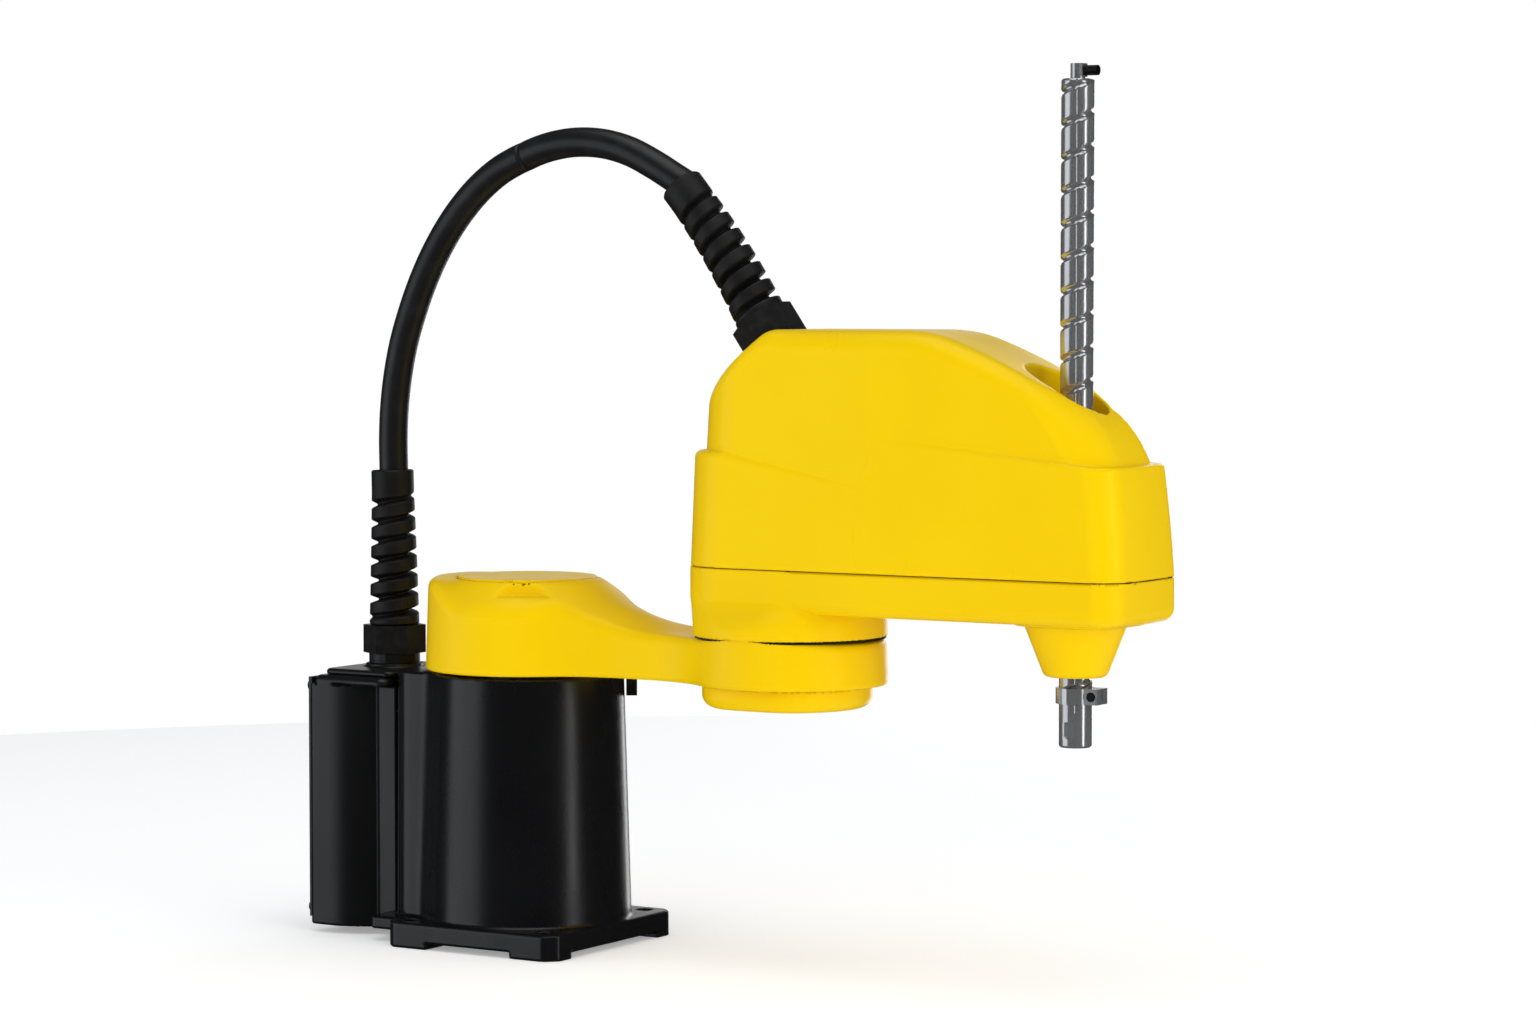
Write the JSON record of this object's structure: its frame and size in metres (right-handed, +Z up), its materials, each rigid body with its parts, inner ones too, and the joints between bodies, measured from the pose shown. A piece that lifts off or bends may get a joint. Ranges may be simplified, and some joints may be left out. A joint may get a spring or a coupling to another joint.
{
  "type": "scara robot arm",
  "caption": "Tabletop four-axis SCARA robot arm: black cast base, two yellow links, ball-screw spline spindle and an overhead cable arch.",
  "frame": {"origin": "where the joint 1 axis meets the mounting surface, at the underside of the base", "axes": "+Z up along the joint 1 axis; +X from the base towards the spindle with both links straight; +Y to the arm's left"},
  "size_m": [0.6103, 0.1428, 0.5586],
  "materials": {
    "yellow_paint": "satin powder-coated aluminium casting",
    "yellow_cover": "satin painted plastic cover",
    "black_casting": "satin black powder-coated casting",
    "black_sheet": "satin black painted sheet",
    "black_plastic": "moulded black nylon",
    "rubber": "black elastomer",
    "cable_jacket": "smooth black cable jacket",
    "steel": "ground and polished steel",
    "dark_steel": "blackened steel",
    "aluminium": "machined aluminium"
  },
  "bodies": {
    "base": {"base_casting": "black_casting", "base_bottom_cover": "black_sheet", "rear_housing": "black_sheet", "rear_panel": "black_sheet", "rear_lid": "black_sheet", "panel_screw_1": "dark_steel", "panel_screw_2": "dark_steel", "panel_screw_3": "dark_steel", "panel_screw_4": "dark_steel", "power_connector": "black_plastic", "encoder_connector": "black_plastic", "user_signal_connector": "black_plastic", "air_fittings": "black_plastic", "earth_screw": "steel", "battery_box": "black_plastic", "joint_1_stop_block": "black_casting", "joint_1_circular_spline": "steel", "joint_1_bearing": "steel", "joint_1_motor": "black_casting", "base_gland_body": "black_plastic", "base_gland_nut": "black_plastic", "base_strain_relief": "rubber", "cable_lower": "cable_jacket"},
    "joint_1_rotor": {"joint_1_rotor": "steel"},
    "arm_1": {"arm_1_casting": "yellow_paint", "arm_1_cap": "yellow_paint", "joint_1_output_hub": "steel", "joint_1_flex_cup": "steel", "joint_2_output_hub": "steel", "joint_2_flex_cup": "steel", "arm_1_lower_cover": "yellow_paint", "cable_upper": "cable_jacket"},
    "arm_2": {"arm_2_casting": "yellow_paint", "cover_gasket": "rubber", "arm_2_cover": "yellow_cover", "arm_gland_body": "black_plastic", "arm_gland_nut": "black_plastic", "arm_strain_relief": "rubber", "joint_2_circular_spline": "steel", "joint_2_motor": "black_casting", "lift_bracket": "aluminium", "lift_motor": "black_casting", "lift_brake": "dark_steel", "lift_belt": "rubber", "roll_bracket": "aluminium", "roll_motor": "black_casting", "roll_belt": "rubber", "spline_bearing": "steel", "screw_bearing": "steel", "nose_seal": "rubber"},
    "joint_2_rotor": {"joint_2_rotor": "steel"},
    "lift_rotor": {"lift_motor_pulley": "aluminium"},
    "roll_rotor": {"roll_motor_pulley": "aluminium"},
    "spline_nut": {"spline_nut": "steel"},
    "screw_nut": {"screw_nut": "steel"},
    "spindle": {"spindle_shaft": "steel", "stop_collar": "steel", "stop_collar_screw": "dark_steel", "shaft_top_stop": "steel", "shaft_top_screw": "dark_steel"}
  },
  "joints": [
    {"name": "joint_1", "type": "hinge", "parent": "base", "child": "arm_1", "pos_m": [0, 0, 0.178], "axis": [0, 0, 1], "range_deg": [-142, 142], "deforming": ["cable_lower"]},
    {"name": "joint_2", "type": "hinge", "parent": "arm_1", "child": "arm_2", "pos_m": [0.2, 0, 0.2075], "axis": [0, 0, 1], "range_deg": [-120, 120], "deforming": ["cable_upper"]},
    {"name": "spindle_roll", "type": "hinge", "parent": "arm_2", "child": "spline_nut", "pos_m": [0.4, 0, 0.25], "axis": [0, 0, 1], "range_deg": [-720, 720]},
    {"name": "spindle_lift", "type": "slide", "parent": "spline_nut", "child": "spindle", "axis": [0, 0, 1], "range_m": [-0.2, 0]},
    {"name": "screw_nut_spin", "type": "hinge", "parent": "spline_nut", "child": "screw_nut", "pos_m": [0.4, 0, 0.3], "axis": [0, 0, 1], "range_deg": [-60, 3660]},
    {"name": "joint_1_rotor_spin", "type": "hinge", "parent": "base", "child": "joint_1_rotor", "pos_m": [0, 0, 0.11], "axis": [0, 0, 1], "range_deg": [-7200, 7200]},
    {"name": "joint_2_rotor_spin", "type": "hinge", "parent": "arm_2", "child": "joint_2_rotor", "pos_m": [0.2, 0, 0.27], "axis": [0, 0, 1], "range_deg": [-6100, 6100]},
    {"name": "lift_pulley_spin", "type": "hinge", "parent": "arm_2", "child": "lift_rotor", "pos_m": [0.342, 0, 0.3], "axis": [0, 0, 1], "range_deg": [-60, 6060]},
    {"name": "roll_pulley_spin", "type": "hinge", "parent": "arm_2", "child": "roll_rotor", "pos_m": [0.295, 0, 0.27], "axis": [0, 0, 1], "range_deg": [-1260, 1260]}
  ],
  "couplings": [
    {"joint": "screw_nut_spin", "follows": "spindle_lift", "rad_per_m": -314.16},
    {"joint": "lift_pulley_spin", "follows": "spindle_lift", "rad_per_m": -523.6},
    {"joint": "roll_pulley_spin", "follows": "spindle_roll", "ratio": 1.6667},
    {"joint": "joint_1_rotor_spin", "follows": "joint_1", "ratio": -50},
    {"joint": "joint_2_rotor_spin", "follows": "joint_2", "ratio": 50}
  ]
}
